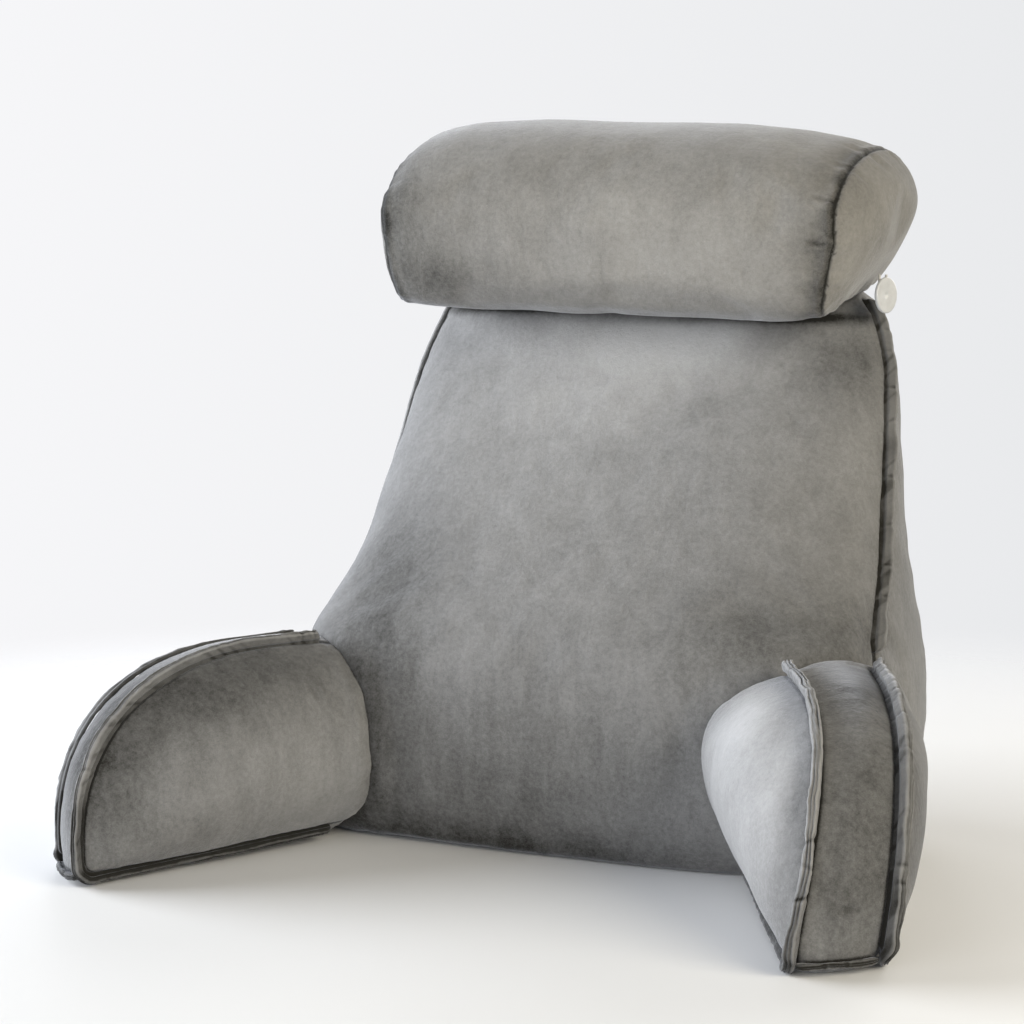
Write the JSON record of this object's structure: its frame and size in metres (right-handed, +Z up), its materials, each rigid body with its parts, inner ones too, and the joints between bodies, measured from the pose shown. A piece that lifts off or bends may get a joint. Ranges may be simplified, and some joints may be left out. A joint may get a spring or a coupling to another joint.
{
  "type": "reading pillow",
  "caption": "Upright reading pillow: a wedge-shaped back cushion with splayed arm pads, a neck roll buttoned on top and raised seam flanges.",
  "frame": {"origin": "middle of the back cushion's flat base, on the surface it rests on", "axes": "+Z up, +X to the right as seen from the front, -Y the way the sitter faces and the arms reach"},
  "size_m": [0.6879, 0.5548, 0.5981],
  "materials": {
    "grey_plush": "short soft pile",
    "button_white": "satin",
    "elastic": "round knitted elastic"
  },
  "bodies": {
    "root": {"back_cushion": "grey_plush", "neck_roll": "grey_plush", "arm_left": "grey_plush", "arm_right": "grey_plush", "arm_inner_flange_left": "grey_plush", "arm_inner_flange_right": "grey_plush", "arm_outer_flange_left": "grey_plush", "arm_outer_flange_right": "grey_plush", "arm_toe_flange_left": "grey_plush", "arm_toe_flange_right": "grey_plush", "back_flange_left": "grey_plush", "back_flange_right": "grey_plush", "button_left": "button_white", "button_right": "button_white", "button_loop_left": "elastic", "button_loop_right": "elastic"}
  },
  "joints": []
}
